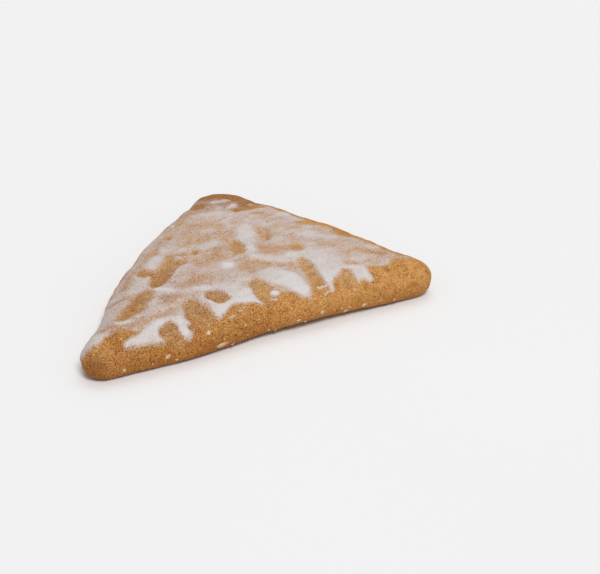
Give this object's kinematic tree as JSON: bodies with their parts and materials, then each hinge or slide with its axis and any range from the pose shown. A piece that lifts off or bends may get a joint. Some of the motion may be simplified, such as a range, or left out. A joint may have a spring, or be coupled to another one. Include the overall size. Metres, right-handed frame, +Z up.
{
  "type": "lebkuchen",
  "caption": "Flat triangular gingerbread biscuit with rounded corners, bullnose sides and a gently crowned, dented top under a thin brushed sugar glaze.",
  "frame": {"origin": "on the ground, under the middle of the part's bounding box", "axes": "+Z up out of the glazed top, +X from the apex to the short side, along the plan's length"},
  "size_m": [0.112, 0.094, 0.0132],
  "materials": {
    "crust": "dry baked gingerbread crust, matt and finely grained",
    "sugar_glaze": "thin white sugar glaze brushed on, dried, half see-through",
    "nut_chips": "pale chopped nut baked into the crust, matt"
  },
  "bodies": {
    "root": {"gingerbread": "crust"}
  },
  "joints": []
}
